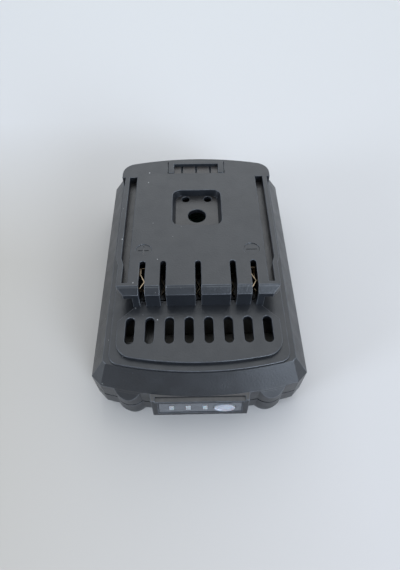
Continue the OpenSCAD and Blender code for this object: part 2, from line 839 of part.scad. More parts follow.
// Nickel plate of an end cell, whose tab runs on over the tray to the underside of the board
module terminal_strip(side, i, riser_y, end_y) {
    level = tray_top + fit;
    nickel(side, i, i, lead_x - strip_w / 4);
    color(nickel_colour)
        mirror([side > 0 ? 0 : 1, 0, 0])
            ribbon(lead_x - strip_w / 4, lead_x + strip_w / 4,
                [[cell_y(i), holder_top], [riser_y, holder_top], [riser_y, level], [end_y, level],
                    [end_y, board_z - fit - strip_t]], strip_t);
}

module insulator(side) {
    inner = cell_l / 2 + strip_t + fit;
    color(paper_colour)
        mirror([side > 0 ? 0 : 1, 0, 0])
            block([inner, row_y - row_l / 2, foot_h], [inner + sheet_t, row_y + row_l / 2, shoulder_z]);
}

// Tray on the end frames: board standoffs, spring cups, and a notch for the strip of the last cell
module board_tray() {
    notch_w = strip_w / 2 + 2 * fit;
    color(dark_plastic)
        difference() {
            union() {
                block([-tray_w / 2, tray_front, tray_z], [tray_w / 2, head_y - wall_t - over, tray_top]);
                for (spot = board_spots)
                    translate([spot[0], spot[1], tray_z]) cylinder(h = tray_t + standoff_h, d = standoff_d);
                for (side = [-1, 1])
                    translate([side * spring_x, spring_y, tray_z]) cylinder(h = tray_t + cup_h, r = cup_r);
            }
            for (side = [-1, 1])
                translate([side * spring_x, spring_y, tray_top]) cylinder(h = span, r = cup_r - cup_wall);
            for (spot = board_spots)
                translate([spot[0], spot[1], tray_z - over]) cylinder(h = span, d = small_screw_d);
            block([lead_x - notch_w / 2, last_riser - fit, tray_z - over],
                [lead_x + notch_w / 2, last_riser + strip_t + fit, span]);
            translate([0, thermistor_y, tray_z - over]) cylinder(h = span, r = bead_r + 3 * fit);
        }
}

module protection_board() {
    color(board_colour)
        difference() {
            block([-board_w / 2, board_y, board_z], [board_w / 2, board_y + board_l, board_top]);
            for (spot = board_spots)
                translate([spot[0], spot[1], 0]) cylinder(h = span, d = small_screw_d + 2 * fit);
        }
}

// Power transistors: body on a metal tab, behind the contacts
module board_mosfets() {
    fet_w = 6.5;
    fet_h = 2.3;
    tab_w = 5.3;
    tab_l = 2;
    tab_h = 0.6;
    step = 8;
    fet_y = 24;
    row = board_y + fet_y;
    color(dark_plastic)
        for (i = [-1.5 : 1.5])
            translate([i * step, row, board_top]) {
                translate([-fet_w / 2, -fet_w, 0]) cube([fet_w, fet_w, fet_h]);
                translate([-tab_w / 2, tab_h - tab_l, 0]) cube([tab_w, tab_l, tab_h]);
            }
}

// Controller chip and the small parts round it
module board_chips() {
    chip_w = 7;
    chip_l = 5;
    chip_h = 1.4;
    small_w = 1.2;
    small_l = 2;
    small_h = 0.8;
    small_step = 2.6;
    capacitor_d = 5;
    capacitor_h = 4;
    chip_y = 40;
    row = board_y + chip_y;
    color(dark_plastic) {
        translate([chip_w, row, board_top]) cube([chip_w, chip_l, chip_h]);
        for (i = [-5 : 0])
            translate([i * small_step, row + chip_l + over, board_top]) cube([small_w, small_l, small_h]);
        translate([-2 * capacitor_d, row, board_top]) cylinder(h = capacitor_h, d = capacitor_d);
    }
}

// Pan head screw with a cross recess, standing on its tip
module screw(d, head_d, head_h, l) {
    recess_w = head_d / 5;
    recess_l = head_d * 0.6;
    difference() {
        union() {
            cylinder(h = l + head_h / 2, d = d);
            translate([0, 0, l]) cylinder(h = head_h, d1 = head_d, d2 = head_d * 0.8);
        }
        for (a = [0, 90])
            rotate(a)
                block([-recess_w / 2, -recess_l / 2, l + head_h / 2], [recess_w / 2, recess_l / 2, span]);
    }
}

module board_screw(spot) {
    l = board_t + standoff_h + tray_t;
    color(steel_colour)
        translate([spot[0], spot[1], board_top - l])
            screw(small_screw_d - fit, 2 * small_screw_d, 0.6 * small_screw_d, l);
}

module board_screws() {
    for (spot = small_spots) board_screw(spot);
}

module centre_screw() {
    board_screw(centre_spot);
}

module housing_screws() {
    color(steel_colour)
        for (spot = screw_spots)
            translate([spot[0], spot[1], screw_tip])
                mirror([0, 0, 1]) screw(screw_d - fit, screw_head_d, screw_head_h, screw_tip - screw_sink);
}

// Comb between the contacts, on the front of the board
module terminal_carrier() {
    w = board_w - 2 * fit;
    carrier_rim = 2;
    back = contact_back + carrier_rim;
    comb_t = 1.6;
    color(dark_plastic)
        difference() {
            union() {
                block([-w / 2, board_y, board_top], [w / 2, back, board_top + carrier_h]);
                for (i = [0 : len(slot_spots) - 2])
                    translate([(slot_spots[i] + slot_spots[i + 1]) / 2, 0, 0])
                        block([-comb_t / 2, board_y, board_top],
                            [comb_t / 2, back, board_top + 2 * carrier_h]);
            }
            for (x = slot_spots)
                block([x - contact_w / 2 - fit, contact_back - fit, 0],
                    [x + contact_w / 2 + fit, contact_back + leaf_t + fit, span]);
        }
}

// One bent leaf: from the back it bulges across the slot and flares out again at the mouth
module leaf(side, z, h) {
    half = contact_w / 2;
    path = [[-half, contact_back + leaf_t], [-half, contact_back - leaf_bends[0]],
        [half - leaf_t - fit, contact_back - leaf_bends[1]], [-half, contact_back - leaf_bends[2]]];
    mirror([side > 0 ? 0 : 1, 0, 0])
        translate([0, 0, z])
            linear_extrude(h)
                polygon(concat(path, [for (i = [len(path) - 1 : -1 : 0]) path[i] + [leaf_t, 0]]));
}

// Contact of one slot: two leaves at two heights, which cross when seen from above
module contact(x, drop, leaf_h) {
    crown = top_z - drop;
    color(brass_colour)
        translate([x, 0, 0]) {
            block([-contact_w / 2, contact_back, board_top], [contact_w / 2, contact_back + leaf_t, crown]);
            leaf(1, crown - leaf_h, leaf_h);
            leaf(-1, crown - 2 * leaf_h - 2 * fit, leaf_h);
        }
}

// Temperature bead in the valley between cells 2 and 3, with leads up to the board
module thermistor() {
    lift = sqrt(pow(cell_r + bead_r + fit, 2) - pitch * pitch / 4);
    color(dark_plastic)
        translate([0, thermistor_y, cell_z + lift]) {
            sphere(r = bead_r);
            for (side = [-1, 1])
                translate([side * bead_r / 2, 0, 0]) cylinder(h = board_z - cell_z - lift, r = bead_r / 4);
        }
}

module gauge_panel() {
    color(dark_plastic)
        on_gauge()
            difference() {
                gauge_block(0, facia_w, facia_h, facia_in, facia_back);
                for (x = window_spots)
                    gauge_block(x, window_w, window_h, 0, span);
                gauge_oval(button_w + 2 * fit, button_h + 2 * fit, 0, facia_back + over);
            }
}

// Clear moulding: three prisms through the facia and the bar that joins them behind it
module gauge_light_pipe() {
    color(white_colour)
        on_gauge() {
            for (x = window_spots)
                gauge_block(x, window_w - fit, window_h - fit, facia_in - fit, pipe_back);
            gauge_block(window_x, 2 * (window_pitch + window_w), window_h + over, facia_back + fit,
                facia_back + pipe_bar);
        }
}

module gauge_button() {
    color(white_colour)
        on_gauge() {
            gauge_oval(button_w, button_h, facia_in - button_out, flange_back);
            gauge_oval(button_w + 2 * flange_rim, button_h, facia_back + fit, flange_back);
            translate([button_x, stem_end, 0])
                rotate([90, 0, 0]) cylinder(h = stem_end - flange_back + over, r = 1.5 * plunger_r);
        }
}

module gauge_switch() {
    color(steel_colour)
        on_gauge()
            difference() {
                gauge_block(button_x, switch_w, switch_h, switch_front, gauge_board_in);
                translate([button_x, gauge_board_in - switch_floor, 0])
                    rotate([90, 0, 0]) cylinder(h = switch_t, r = plunger_r + fit);
            }
}

module switch_plunger() {
    color(dark_plastic)
        on_gauge()
            translate([button_x, switch_front + plunger_in, 0])
                rotate([90, 0, 0]) cylinder(h = switch_front + plunger_in - stem_end, r = plunger_r);
}

module gauge_leds() {
    color(white_colour)
        on_gauge()
            for (x = window_spots)
                gauge_block(x, led_w, led_h, gauge_board_in - led_t, gauge_board_in);
}

module gauge_board() {
    color(board_colour)
        on_gauge()
            gauge_block(0, bay_hole_w - 2 * fit, bay_hole_h - 2 * fit, gauge_board_in, gauge_board_back);
}

// Flat cable from the gauge's board over the first cell to the underside of the protection board
module gauge_cable() {
    t = 0.4;
    w = 3;
    start = gauge_y + gauge_board_back * cos(gauge_lean) + t;
    level = tray_top + t;
    drop = 2;
    bend = 1.2;
    end = board_y + 6;
    route = [[start, gauge_z - drop], [start + bend, holder_top], [start + bend + t + drop, level],
        [end, level], [end, board_z - fit]];
    color(dark_plastic)
        rotate([90, 0, 90])
            linear_extrude(w, center = true)
                polygon([route[0], route[1], route[2], route[3] + [-t, 0], route[4] + [-t, 0], route[4],
                    route[3] + [0, -t], route[2] + [t, -t], route[1] + [t, 0], route[0] + [t, 0]]);
}

lower_housing();
upper_housing();
release_latch();
latch_spring(-spring_x);  // latch_spring_left
latch_spring(spring_x);  // latch_spring_right
cell(1);  // cell_1
cell(2);  // cell_2
cell(3);  // cell_3
cell(4);  // cell_4
cell(5);  // cell_5
cell_washers();
cell_holder(-1);  // cell_holder_left
cell_holder(1);  // cell_holder_right
terminal_strip(-1, 1, first_riser, first_end);  // strip_negative
nickel(1, 1, 2, cell_l / 2 - holder_w);  // link_1_2
nickel(-1, 2, 3, cell_l / 2 - holder_w);  // link_2_3
nickel(1, 3, 4, cell_l / 2 - holder_w);  // link_3_4
nickel(-1, 4, 5, cell_l / 2 - holder_w);  // link_4_5
terminal_strip(1, cell_n, last_riser, last_end);  // strip_positive
insulator(-1);  // insulator_left
insulator(1);  // insulator_right
board_tray();
protection_board();
board_mosfets();
board_chips();
board_screws();
centre_screw();
terminal_carrier();
contact(-power_x, power_drop, power_leaf);  // positive_contact
contact(power_x, power_drop, power_leaf);  // negative_contact
contact(-signal_x, signal_drop, signal_leaf);  // signal_contact_left
contact(0, signal_drop, signal_leaf);  // signal_contact_centre
contact(signal_x, signal_drop, signal_leaf);  // signal_contact_right
thermistor();
gauge_panel();
gauge_light_pipe();
gauge_button();
gauge_switch();
switch_plunger();
gauge_leds();
gauge_board();
gauge_cable();
housing_screws();
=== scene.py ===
"""Looks of a slide-on battery pack round its CAD solids: softened shells, finishes, floor, light, camera."""

import json
import math

import bmesh
import bpy
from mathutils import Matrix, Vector
from mathutils.bvhtree import BVHTree
from mathutils.geometry import intersect_point_line
from mathutils.kdtree import KDTree

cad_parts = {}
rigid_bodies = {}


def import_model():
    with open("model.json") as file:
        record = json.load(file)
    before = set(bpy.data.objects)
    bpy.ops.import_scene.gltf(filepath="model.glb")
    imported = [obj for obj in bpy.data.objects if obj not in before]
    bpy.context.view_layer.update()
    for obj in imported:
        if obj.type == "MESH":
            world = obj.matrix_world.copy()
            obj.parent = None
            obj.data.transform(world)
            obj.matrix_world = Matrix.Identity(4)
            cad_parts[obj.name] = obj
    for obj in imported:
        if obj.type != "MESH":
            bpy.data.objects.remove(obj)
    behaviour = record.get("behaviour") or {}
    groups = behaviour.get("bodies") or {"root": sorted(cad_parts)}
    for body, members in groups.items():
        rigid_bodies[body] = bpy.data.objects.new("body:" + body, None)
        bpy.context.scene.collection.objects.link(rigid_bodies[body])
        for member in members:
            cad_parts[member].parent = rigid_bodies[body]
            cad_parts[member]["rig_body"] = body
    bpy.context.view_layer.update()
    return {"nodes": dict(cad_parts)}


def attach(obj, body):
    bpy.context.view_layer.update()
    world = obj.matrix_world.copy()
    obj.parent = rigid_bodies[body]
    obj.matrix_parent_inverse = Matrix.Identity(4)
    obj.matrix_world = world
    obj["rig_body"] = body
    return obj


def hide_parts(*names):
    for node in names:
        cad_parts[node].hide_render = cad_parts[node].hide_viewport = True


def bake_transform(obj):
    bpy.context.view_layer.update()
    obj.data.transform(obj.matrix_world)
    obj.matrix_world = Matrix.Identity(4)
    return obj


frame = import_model()
MM = 0.001
X, Y, Z = range(3)
SLOTS = {name: node.material_slots[0].material.name for name, node in frame["nodes"].items()}

# Places on the pack, in millimetres
SIGN_SPOT = Vector((19.9, -4.15, 37.75))
SIGN_SIZE = 4.0
SIGN_STROKE = 0.45
SIGN_DEPTH = SIGN_STROKE / 2
POCKET_FLOOR = 34.7
LEDGES = (17.2, 17.9)
LATCH_PANEL = 37.1
SEAM = 9.8
# reach of the painted shade and dirt on either side of the seam
SEAM_SHADE_REACH = 0.32
# corners of the dark sheets that are painted shade in the latch slot's ends
SHADE_SHEET_LOW = (11.75, 37.7, 28.0)
SHADE_SHEET_HIGH = (12.05, 46.3, 37.3)
PRESS_LEAN = math.radians(18)
PRESS_AXIS = Vector((0, math.cos(PRESS_LEAN), -math.sin(PRESS_LEAN)))

# Colours of the housing, of what lies on it, and of the light and shade painted on it
HOUSING = (0.0100, 0.0115, 0.0142)
# pale colour of the bevelled edges: rubbed wear and a painted highlight
EDGE_WEAR_AND_HIGHLIGHT = (0.062, 0.066, 0.073)
# near-black of the seam: painted shade of the gap between the shells, with dirt
SEAM_SHADE_AND_DIRT = (0.002, 0.002, 0.002)
SPECK = (0.36, 0.36, 0.35)
POCKET_DUST = (0.034, 0.030, 0.027)
SIGN_DUST = (0.09, 0.09, 0.09)
# ledges' tone: painted light that lifts their shade, with a brownish dust tint
LEDGE_LIGHT_AND_DUST = (0.085, 0.077, 0.070)
LATCH_DUST = (0.06, 0.050, 0.043)
GLOSS = 0.69
EDGE_GLOSS = 0.6

# The floor: its size, its colours with painted shade towards the front and at the front left, and where one
# fades into another, in metres
FLOOR_SIZE = 16.0
FLOOR_FRONT_SHADE = (0.63, 0.605, 0.59)
FLOOR_BACK = (0.69, 0.685, 0.675)
FLOOR_LEFT_SHADE = (0.485, 0.45, 0.40)
TO_BACK = (-0.12, 0.32)
TO_LEFT = (0.06, -0.11)
TO_FRONT = (0.13, 0.02)

# The room's light: its brightest side, and its colour by how far a direction turns to that side, from 0 to 1
BRIGHT_SIDE = Vector((0.25, 0.6, 0.75))
ROOM = [(0.25, (0.115, 0.125, 0.145)), (0.6, (0.48, 0.52, 0.57)), (0.95, (0.97, 1.03, 1.1))]

# CAD pieces that get soft edges: the new piece, the node and the bevel's width in millimetres
SOFT_PIECES = (("top_shell", "upper_housing", 0.3), ("bottom_shell", "lower_housing", 0.3),
               ("latch_cap", "release_latch", 0.25), ("gauge_facia", "gauge_panel", 0.15))
CLOSING_NODES = ("upper_housing", "lower_housing", "release_latch", "gauge_panel", "gauge_button")

# Limits for the meshes: angles between faces, lengths in millimetres, shares and counts
SAME_PLANE = math.radians(0.1)
BEND = math.radians(10)
BEVELLED_BEND = math.radians(30)
SMOOTH_BEND = math.radians(24)
FOLDED_BEND = math.radians(140)
CORNER_BENDS = [math.radians(angle) for angle in (28, 12, 90)]  # with 0, 1 and 2 bevel faces at the edge
DOUBLE = 0.001
TOUCH = 0.01
RAY_START = 0.02
FLATNESS = 0.03
SLIVER = 0.11
SAMPLE_STEP = 0.2
LEAST_ROOM = 0.35
SAME_SPOT = 0.5
DISC_REACH = 3
ROOM_SHARE = 0.4  # of the room beside an edge, for its bevel
STRAY = 2.2  # bevel widths that a bevel's corner may lie from its edge
ATTEMPTS = 12
HALVINGS = 2  # attempts that halve a bevel, before it is left out
WIDENING = 0.3  # added to the reach of each attempt

# The button: how far its front may turn, its rim, and each ring of its dish as a scale and a depth
FACING = 0.99
BUTTON_BEND = math.radians(40)
RIM = 0.5
DISH = ((0.92, 0.05), (0.88, 0.14), (0.8, 0.16), (0.7, 0.1), (0.4, 0.04))


class Finish:
    """Node tree of one material, with short calls for the nodes that the finishes share."""

    def __init__(self, name, colour, roughness, **constants):
        self.material = bpy.data.materials.new(name)
        self.material.use_nodes = True
        self.tree = self.material.node_tree
        self.shader = self.tree.nodes["Principled BSDF"]
        self.put("Base Color", (*colour, 1))
        self.put("Roughness", roughness)
        for socket, value in constants.items():
            self.put(socket.replace("_", " "), value)
        coordinates = self.add("ShaderNodeTexCoord")
        self.place = coordinates.outputs["Object"]
        self.normal = coordinates.outputs["Normal"]

    def add(self, kind, **settings):
        node = self.tree.nodes.new(kind)
        for key, value in settings.items():
            setattr(node, key, value)
        return node

    def feed(self, socket, value):
        """Links an output to a socket, or sets the socket's own constant."""
        if isinstance(value, bpy.types.NodeSocket):
            self.tree.links.new(value, socket)
        else:
            socket.default_value = value

    def put(self, name, value):
        self.feed(self.shader.inputs[name], value)

    def part(self, vector, axis):
        split = self.add("ShaderNodeSeparateXYZ")
        self.feed(split.inputs[0], vector)
        return split.outputs[axis]

    def turned(self, angle, stretch):
        """The place on the piece, turned about Z and then stretched along its axes."""
        turn = self.add("ShaderNodeMapping", vector_type="POINT")
        self.feed(turn.inputs["Vector"], self.place)
        turn.inputs["Rotation"].default_value = (0, 0, math.radians(angle))
        turn.inputs["Scale"].default_value = stretch
        return turn.outputs[0]

    def noise(self, size, detail=2, place=None):
        """Cloudy noise, from 0 to 1, whose features are about `size` millimetres."""
        node = self.add("ShaderNodeTexNoise")
        self.feed(node.inputs["Vector"], place or self.place)
        self.feed(node.inputs["Scale"], 1 / (size * MM))
        self.feed(node.inputs["Detail"], detail)
        return node.outputs[0]

    def calc(self, operation, a, b=0.0):
        node = self.add("ShaderNodeMath", operation=operation)
        self.feed(node.inputs[0], a)
        self.feed(node.inputs[1], b)
        return node.outputs[0]

    def times(self, a, b):
        return self.calc("MULTIPLY", a, b)

    def fade(self, value, low, high, start=0.0, end=1.0):
        """Goes from start to end as the value goes from low to high, and stays there outside."""
        node = self.add("ShaderNodeMapRange")
        for socket, number in zip(node.inputs, (value, low, high, start, end)):
            self.feed(socket, number)
        return node.outputs[0]

    def blend(self, factor, a, b):
        """Mixes two colours."""
        node = self.add("ShaderNodeMix", data_type="RGBA")
        colours = [socket for socket in node.inputs if socket.type == "RGBA"]
        self.feed(node.inputs[0], factor)
        for socket, colour in zip(colours, (a, b)):
            self.feed(socket, colour if isinstance(colour, bpy.types.NodeSocket) else (*colour, 1))
        return [socket for socket in node.outputs if socket.type == "RGBA"][0]

    def mottled(self, colour, factor, start, end):
        """A colour whose brightness goes from start to end with the factor."""
        return self.blend(factor, shade(colour, start), shade(colour, end))

    def uneven_roughness(self, noise, low, high):
        """Lets the roughness wander with a noise."""
        self.put("Roughness", self.fade(noise, 0.3, 0.7, low, high))

    def specks(self, pitch, radius):
        """Small round dots, one in some of the cells that are `pitch` millimetres wide."""
        node = self.add("ShaderNodeTexVoronoi")
        self.feed(node.inputs["Vector"], self.place)
        self.feed(node.inputs["Scale"], 1 / (pitch * MM))
        chance = self.part(node.outputs["Color"], X)
        reach = self.fade(chance, 0.45, 1.0, 0.0, radius / pitch)
        return self.calc("LESS_THAN", node.outputs["Distance"], reach)

    def height_from(self, level):
        """How far above or below a level, in millimetres, the surface is."""
        height = self.calc("SUBTRACT", self.part(self.place, Z), level * MM)
        return self.calc("ABSOLUTE", height)

    def off_seam_shade(self):
        """1 where the surface is clear of the painted shade and dirt in the shells' seam, else 0."""
        return self.calc("GREATER_THAN", self.height_from(SEAM), SEAM_SHADE_REACH * MM)

    def grain(self, size, depth):
        """Fine relief of the surface, in millimetres."""
        node = self.add("ShaderNodeBump")
        self.feed(node.inputs["Distance"], depth * MM)
        self.feed(node.inputs["Height"], self.noise(size))
        self.put("Normal", node.outputs[0])


def shade(colour, factor):
    return tuple(channel * factor for channel in colour)


def moulded(name, colour, roughness, dust=0.0, floors=(), seam_shade=False):
    """Spark-textured plastic: cloudy tone, fine grain and dust on what faces up.

    Floors are the heights of the floors of hollows, each with a colour laid on what faces up there: settled
    dust, and on the ledges painted light with a dust tint. With the seam flag, the line between the shells
    is painted dark: painted shade of the gap, with dirt.
    """
    finish = Finish(name, colour, roughness, Specular_IOR_Level=GLOSS)
    cloud = finish.calc("ADD", finish.noise(14, 3), finish.noise(1.6))
    tone = finish.mottled(colour, finish.fade(cloud, 0.75, 1.25), 0.88, 1.13)
    if dust:
        up = finish.fade(finish.part(finish.normal, Z), 0.3, 0.8)
        left = finish.fade(finish.part(finish.place, X), -4 * MM, -14 * MM)
        dense = finish.times(finish.specks(pitch=2.8, radius=0.32), left)
        spots = finish.calc("MAXIMUM", finish.specks(pitch=7, radius=0.32), dense)
        tone = finish.blend(finish.times(finish.times(spots, dust), up), tone, SPECK)
        # dust settled on the floors of hollows; on the ledges this is painted light as well
        for level, floor_tone in floors:
            flat = finish.calc("LESS_THAN", finish.height_from(level), 0.12 * MM)
            patchy = finish.fade(cloud, 0.5, 1.4, 0.35, 0.75)
            tone = finish.blend(finish.times(finish.times(flat, up), patchy), tone, floor_tone)
    # painted shade and dirt along the seam between the shells: near-black, without gloss
    if seam_shade:
        clear_of_seam_shade = finish.off_seam_shade()
        tone = finish.blend(clear_of_seam_shade, SEAM_SHADE_AND_DIRT, tone)
        finish.put("Specular IOR Level", finish.times(clear_of_seam_shade, GLOSS))
    finish.put("Base Color", tone)
    finish.uneven_roughness(finish.noise(5, 3), roughness - 0.05, roughness + 0.05)
    finish.grain(size=0.7, depth=0.05)
    return finish.material


def edge_wear_and_highlight(colour):
    """Edge rubbed paler by use and painted paler still as a highlight, with painted shade and dirt where the
    two shells meet.
    """
    finish = Finish("edge_wear_and_highlight", colour, 0.4)
    # the seam's bevels get the painted shade and dirt too
    clear_of_seam_shade = finish.off_seam_shade()
    tone = finish.mottled(colour, finish.fade(finish.noise(3), 0.35, 0.65), 0.7, 1.2)
    finish.put("Base Color", finish.blend(clear_of_seam_shade, SEAM_SHADE_AND_DIRT, tone))
    finish.put("Specular IOR Level", finish.times(clear_of_seam_shade, EDGE_GLOSS))
    finish.grain(size=0.45, depth=0.01)
    return finish.material


def metal(name, colour, roughness, streak):
    """Drawn or plated metal with fine streaks along X and a slight tarnish."""
    finish = Finish(name, colour, roughness, Metallic=1.0)
    lines = finish.noise(streak, place=finish.turned(0, (0.05, 1, 1)))
    tarnish = finish.fade(finish.noise(3, 3), 0.35, 0.7)
    finish.put("Base Color", finish.mottled(colour, tarnish, 1.1, 0.72))
    finish.uneven_roughness(lines, roughness - 0.08, roughness + 0.12)
    finish.grain(size=streak, depth=0.004)
    return finish.material


def sleeve():
    """Heat-shrunk sleeve of a cell: even gloss with soft waves."""
    colour = (0.10, 0.094, 0.085)
    finish = Finish("sleeve", colour, 0.38)
    finish.put("Base Color", finish.mottled(colour, finish.noise(6, 3), 0.8, 1.2))
    finish.uneven_roughness(finish.noise(2), 0.32, 0.45)
    finish.grain(size=4, depth=0.05)
    return finish.material


def pressed_paper():
    """Insulating board with short pale fibres."""
    colour = (0.62, 0.57, 0.44)
    finish = Finish("pressed_paper", colour, 0.85)
    fibres = finish.noise(0.4, 3, finish.turned(35, (0.2, 1, 1)))
    finish.put("Base Color", finish.mottled(colour, fibres, 0.75, 1.2))
    finish.grain(size=0.4, depth=0.02)
    return finish.material


def solder_mask():
    """Near-black green lacquer over copper tracks that show as slightly paler lines."""
    colour = (0.006, 0.016, 0.011)
    finish = Finish("solder_mask", colour, 0.3)
    tracks = finish.add("ShaderNodeTexBrick", offset=0.5)
    finish.feed(tracks.inputs["Vector"], finish.place)
    finish.feed(tracks.inputs["Scale"], 1 / (3 * MM))
    finish.feed(tracks.inputs["Mortar Size"], 0.08)
    finish.put("Base Color", finish.blend(tracks.outputs["Fac"], colour, (0.012, 0.03, 0.02)))
    finish.uneven_roughness(finish.noise(2), 0.22, 0.4)
    finish.grain(size=1.5, depth=0.01)
    return finish.material


def milky(name, colour, roughness):
    """Milky moulded plastic with a little light under its skin."""
    finish = Finish(name, colour, roughness, Subsurface_Weight=0.2, Subsurface_Scale=0.6 * MM)
    finish.put("Base Color", finish.mottled(colour, finish.noise(1.5), 0.93, 1.04))
    finish.uneven_roughness(finish.noise(0.8), roughness - 0.06, roughness + 0.06)
    finish.grain(size=0.8, depth=0.004)
    return finish.material


HOUSING_FLOORS = [(POCKET_FLOOR, POCKET_DUST), (SIGN_SPOT.z - SIGN_DEPTH, SIGN_DUST),
                  *((level, LEDGE_LIGHT_AND_DUST) for level in LEDGES)]
FINISHES = {
    # the housing's seam gets painted shade and dirt
    "housing": moulded("housing_plastic", HOUSING, 0.37, 0.8, HOUSING_FLOORS, seam_shade=True),
    "latch": moulded("latch_plastic", shade(HOUSING, 1.05), 0.37, 0.6, [(LATCH_PANEL, LATCH_DUST)]),
    "steel": metal("zinc_steel", (0.42, 0.43, 0.45), 0.35, 0.3),
    "cell_sleeve": sleeve(),
    "paper": pressed_paper(),
    "dark_plastic": moulded("dark_plastic", (0.014, 0.0145, 0.0155), 0.5),
    "nickel": metal("nickel_strip", (0.55, 0.52, 0.45), 0.3, 0.2),
    "circuit_board": solder_mask(),
    "contact_brass": metal("contact_brass", (0.36, 0.28, 0.19), 0.3, 0.15),
    "facia": moulded("facia_plastic", (0.095, 0.098, 0.104), 0.34),
    "clear_plastic": milky("milky_windows", (0.30, 0.31, 0.31), 0.3),
    "button": milky("button_plastic", (0.35, 0.36, 0.39), 0.16),
}
# finish of the bevels: rubbed wear and a painted highlight
EDGE_WEAR_AND_HIGHLIGHT_FINISH = edge_wear_and_highlight(EDGE_WEAR_AND_HIGHLIGHT)

# Finishes of the nodes whose names start so, in place of their slot's
SPECIAL = {
    # signal contacts painted near-black: painted shade of the slots they sit in
    "signal_contact": metal("shaded_contact", (0.05, 0.042, 0.03), 0.45, 0.15),
    "strip": moulded("insulating_tape", (0.022, 0.021, 0.019), 0.32),
}


def dress_nodes():
    """Gives every CAD node its finish."""
    for name, node in frame["nodes"].items():
        own = [finish for start, finish in SPECIAL.items() if name.startswith(start)]
        node.material_slots[0].material = own[0] if own else FINISHES[SLOTS[name]]


def put_in_scene(name, data):
    """An object of the scene for a mesh, lamp or camera."""
    item = bpy.data.objects.new(name, data)
    bpy.context.scene.collection.objects.link(item)
    return item


def piece_of(name, mesh, finish):
    """A piece with the shape of a bmesh, which is freed."""
    data = bpy.data.meshes.new(name)
    mesh.to_mesh(data)
    mesh.free()
    data.materials.append(finish)
    return put_in_scene(name, data)


def stand_in(piece, node):
    """Lets the piece take the place of a CAD node, with smooth bends and flat faces."""
    piece.data.shade_smooth()
    normals = piece.modifiers.new("flat_faces", "WEIGHTED_NORMAL")
    normals.keep_sharp = True
    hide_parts(node)
    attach(piece, frame["nodes"][node]["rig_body"])


def joined_faces(node):
    """A CAD node's mesh with its triangles joined into flat faces."""
    mesh = bmesh.new()
    mesh.from_mesh(frame["nodes"][node].data)
    bmesh.ops.remove_doubles(mesh, verts=mesh.verts, dist=DOUBLE * MM)
    bmesh.ops.dissolve_degenerate(mesh, edges=mesh.edges, dist=SLIVER * MM)
    bmesh.ops.dissolve_limit(mesh, angle_limit=SAME_PLANE, verts=mesh.verts, edges=mesh.edges,
                             delimit=set())
    return mesh


def bend(edge):
    """The angle between the two faces at an edge, 0 where they go on straight."""
    return edge.calc_face_angle() if len(edge.link_faces) == 2 else 0.0


def room_beside(edge):
    """How far the two faces run, square to the edge's middle, up to their next bent edge."""
    start, end = (vert.co for vert in edge.verts)
    middle = (start + end) / 2
    along = (end - start).normalized()
    room = 1.0
    for face in edge.link_faces:
        inward = face.normal.cross(along)
        for other in face.edges:
            if other == edge or bend(other) < BEND:
                continue
            a, b = (vert.co - middle for vert in other.verts)
            side_a, side_b = a.dot(along), b.dot(along)
            if side_a * side_b < 0:
                cross = a + (b - a) * side_a / (side_a - side_b)
                distance = abs(cross.dot(inward))
                if distance > TOUCH * MM:
                    room = min(room, distance)
    return room


def outer_skin():
    """Search tree of the pieces that close the pack."""
    corners, faces = [], []
    for name in CLOSING_NODES:
        mesh = frame["nodes"][name].data
        first = len(corners)
        corners += [vert.co.copy() for vert in mesh.vertices]
        faces += [[first + corner for corner in face.vertices] for face in mesh.polygons]
    return BVHTree.FromPolygons(corners, faces)


def in_the_open(edge, skin):
    """Whether a straight line from the edge's middle reaches the air round the pack."""
    middle = (edge.verts[0].co + edge.verts[1].co) / 2
    normals = [face.normal for face in edge.link_faces]
    ways = [(normals[0] + normals[1]).normalized(), *normals]
    return any(skin.ray_cast(middle + RAY_START * MM * way, way)[0] is None for way in ways)


def weigh_edges(mesh, width, skin):
    """Gives each sharp outer edge its share of the bevel's width, less where its faces are narrow."""
    weights = mesh.edges.layers.float.new("bevel_weight_edge")
    for edge in mesh.edges:
        if edge.is_convex and bend(edge) > BEVELLED_BEND:
            room = room_beside(edge)
            if room > LEAST_ROOM * MM and in_the_open(edge, skin):
                edge[weights] = min(1.0, ROOM_SHARE * room / width)
    return weights


def distance_to(edge, spot):
    start, end = (vert.co for vert in edge.verts)
    nearest, share = intersect_point_line(spot, start, end)
    return (spot - (start if share < 0 else end if share > 1 else nearest)).length


def spoiled(mesh):
    """Places where a mesh is torn or folded back on itself."""
    shape = bmesh.new()
    shape.from_mesh(mesh)
    spots = []
    for edge in shape.edges:
        if len(edge.link_faces) != 2 or bend(edge) > FOLDED_BEND:
            spots += [vert.co.copy() for vert in edge.verts]
    shape.free()
    return spots


def warped(mesh):
    """Corners of the faces, other than bevels, that aren't flat."""
    spots = []
    for face in mesh.polygons:
        if face.material_index == 0:
            corners = [mesh.vertices[corner].co for corner in face.vertices]
            heights = [(corner - face.center).dot(face.normal) for corner in corners]
            if max(heights) - min(heights) > FLATNESS * MM:
                spots += [corner.copy() for corner in corners]
    return spots


def strayed(mesh, source, weights, width):
    """Places on the source's bevelled edges from which the bevel ran off along a face."""
    points = []
    for edge in source.edges:
        if edge[weights]:
            start, end = (vert.co for vert in edge.verts)
            steps = math.ceil((end - start).length / (SAMPLE_STEP * MM))
            points += [start.lerp(end, step / steps) for step in range(steps + 1)]
    tree = KDTree(len(points))
    for index, point in enumerate(points):
        tree.insert(point, index)
    tree.balance()
    spots = []
    for face in mesh.polygons:
        if face.material_index == 1:
            found = [tree.find(mesh.vertices[corner].co) for corner in face.vertices]
            if any(distance > STRAY * width for point, index, distance in found):
                spots += [point for point, index, distance in found]
    return spots


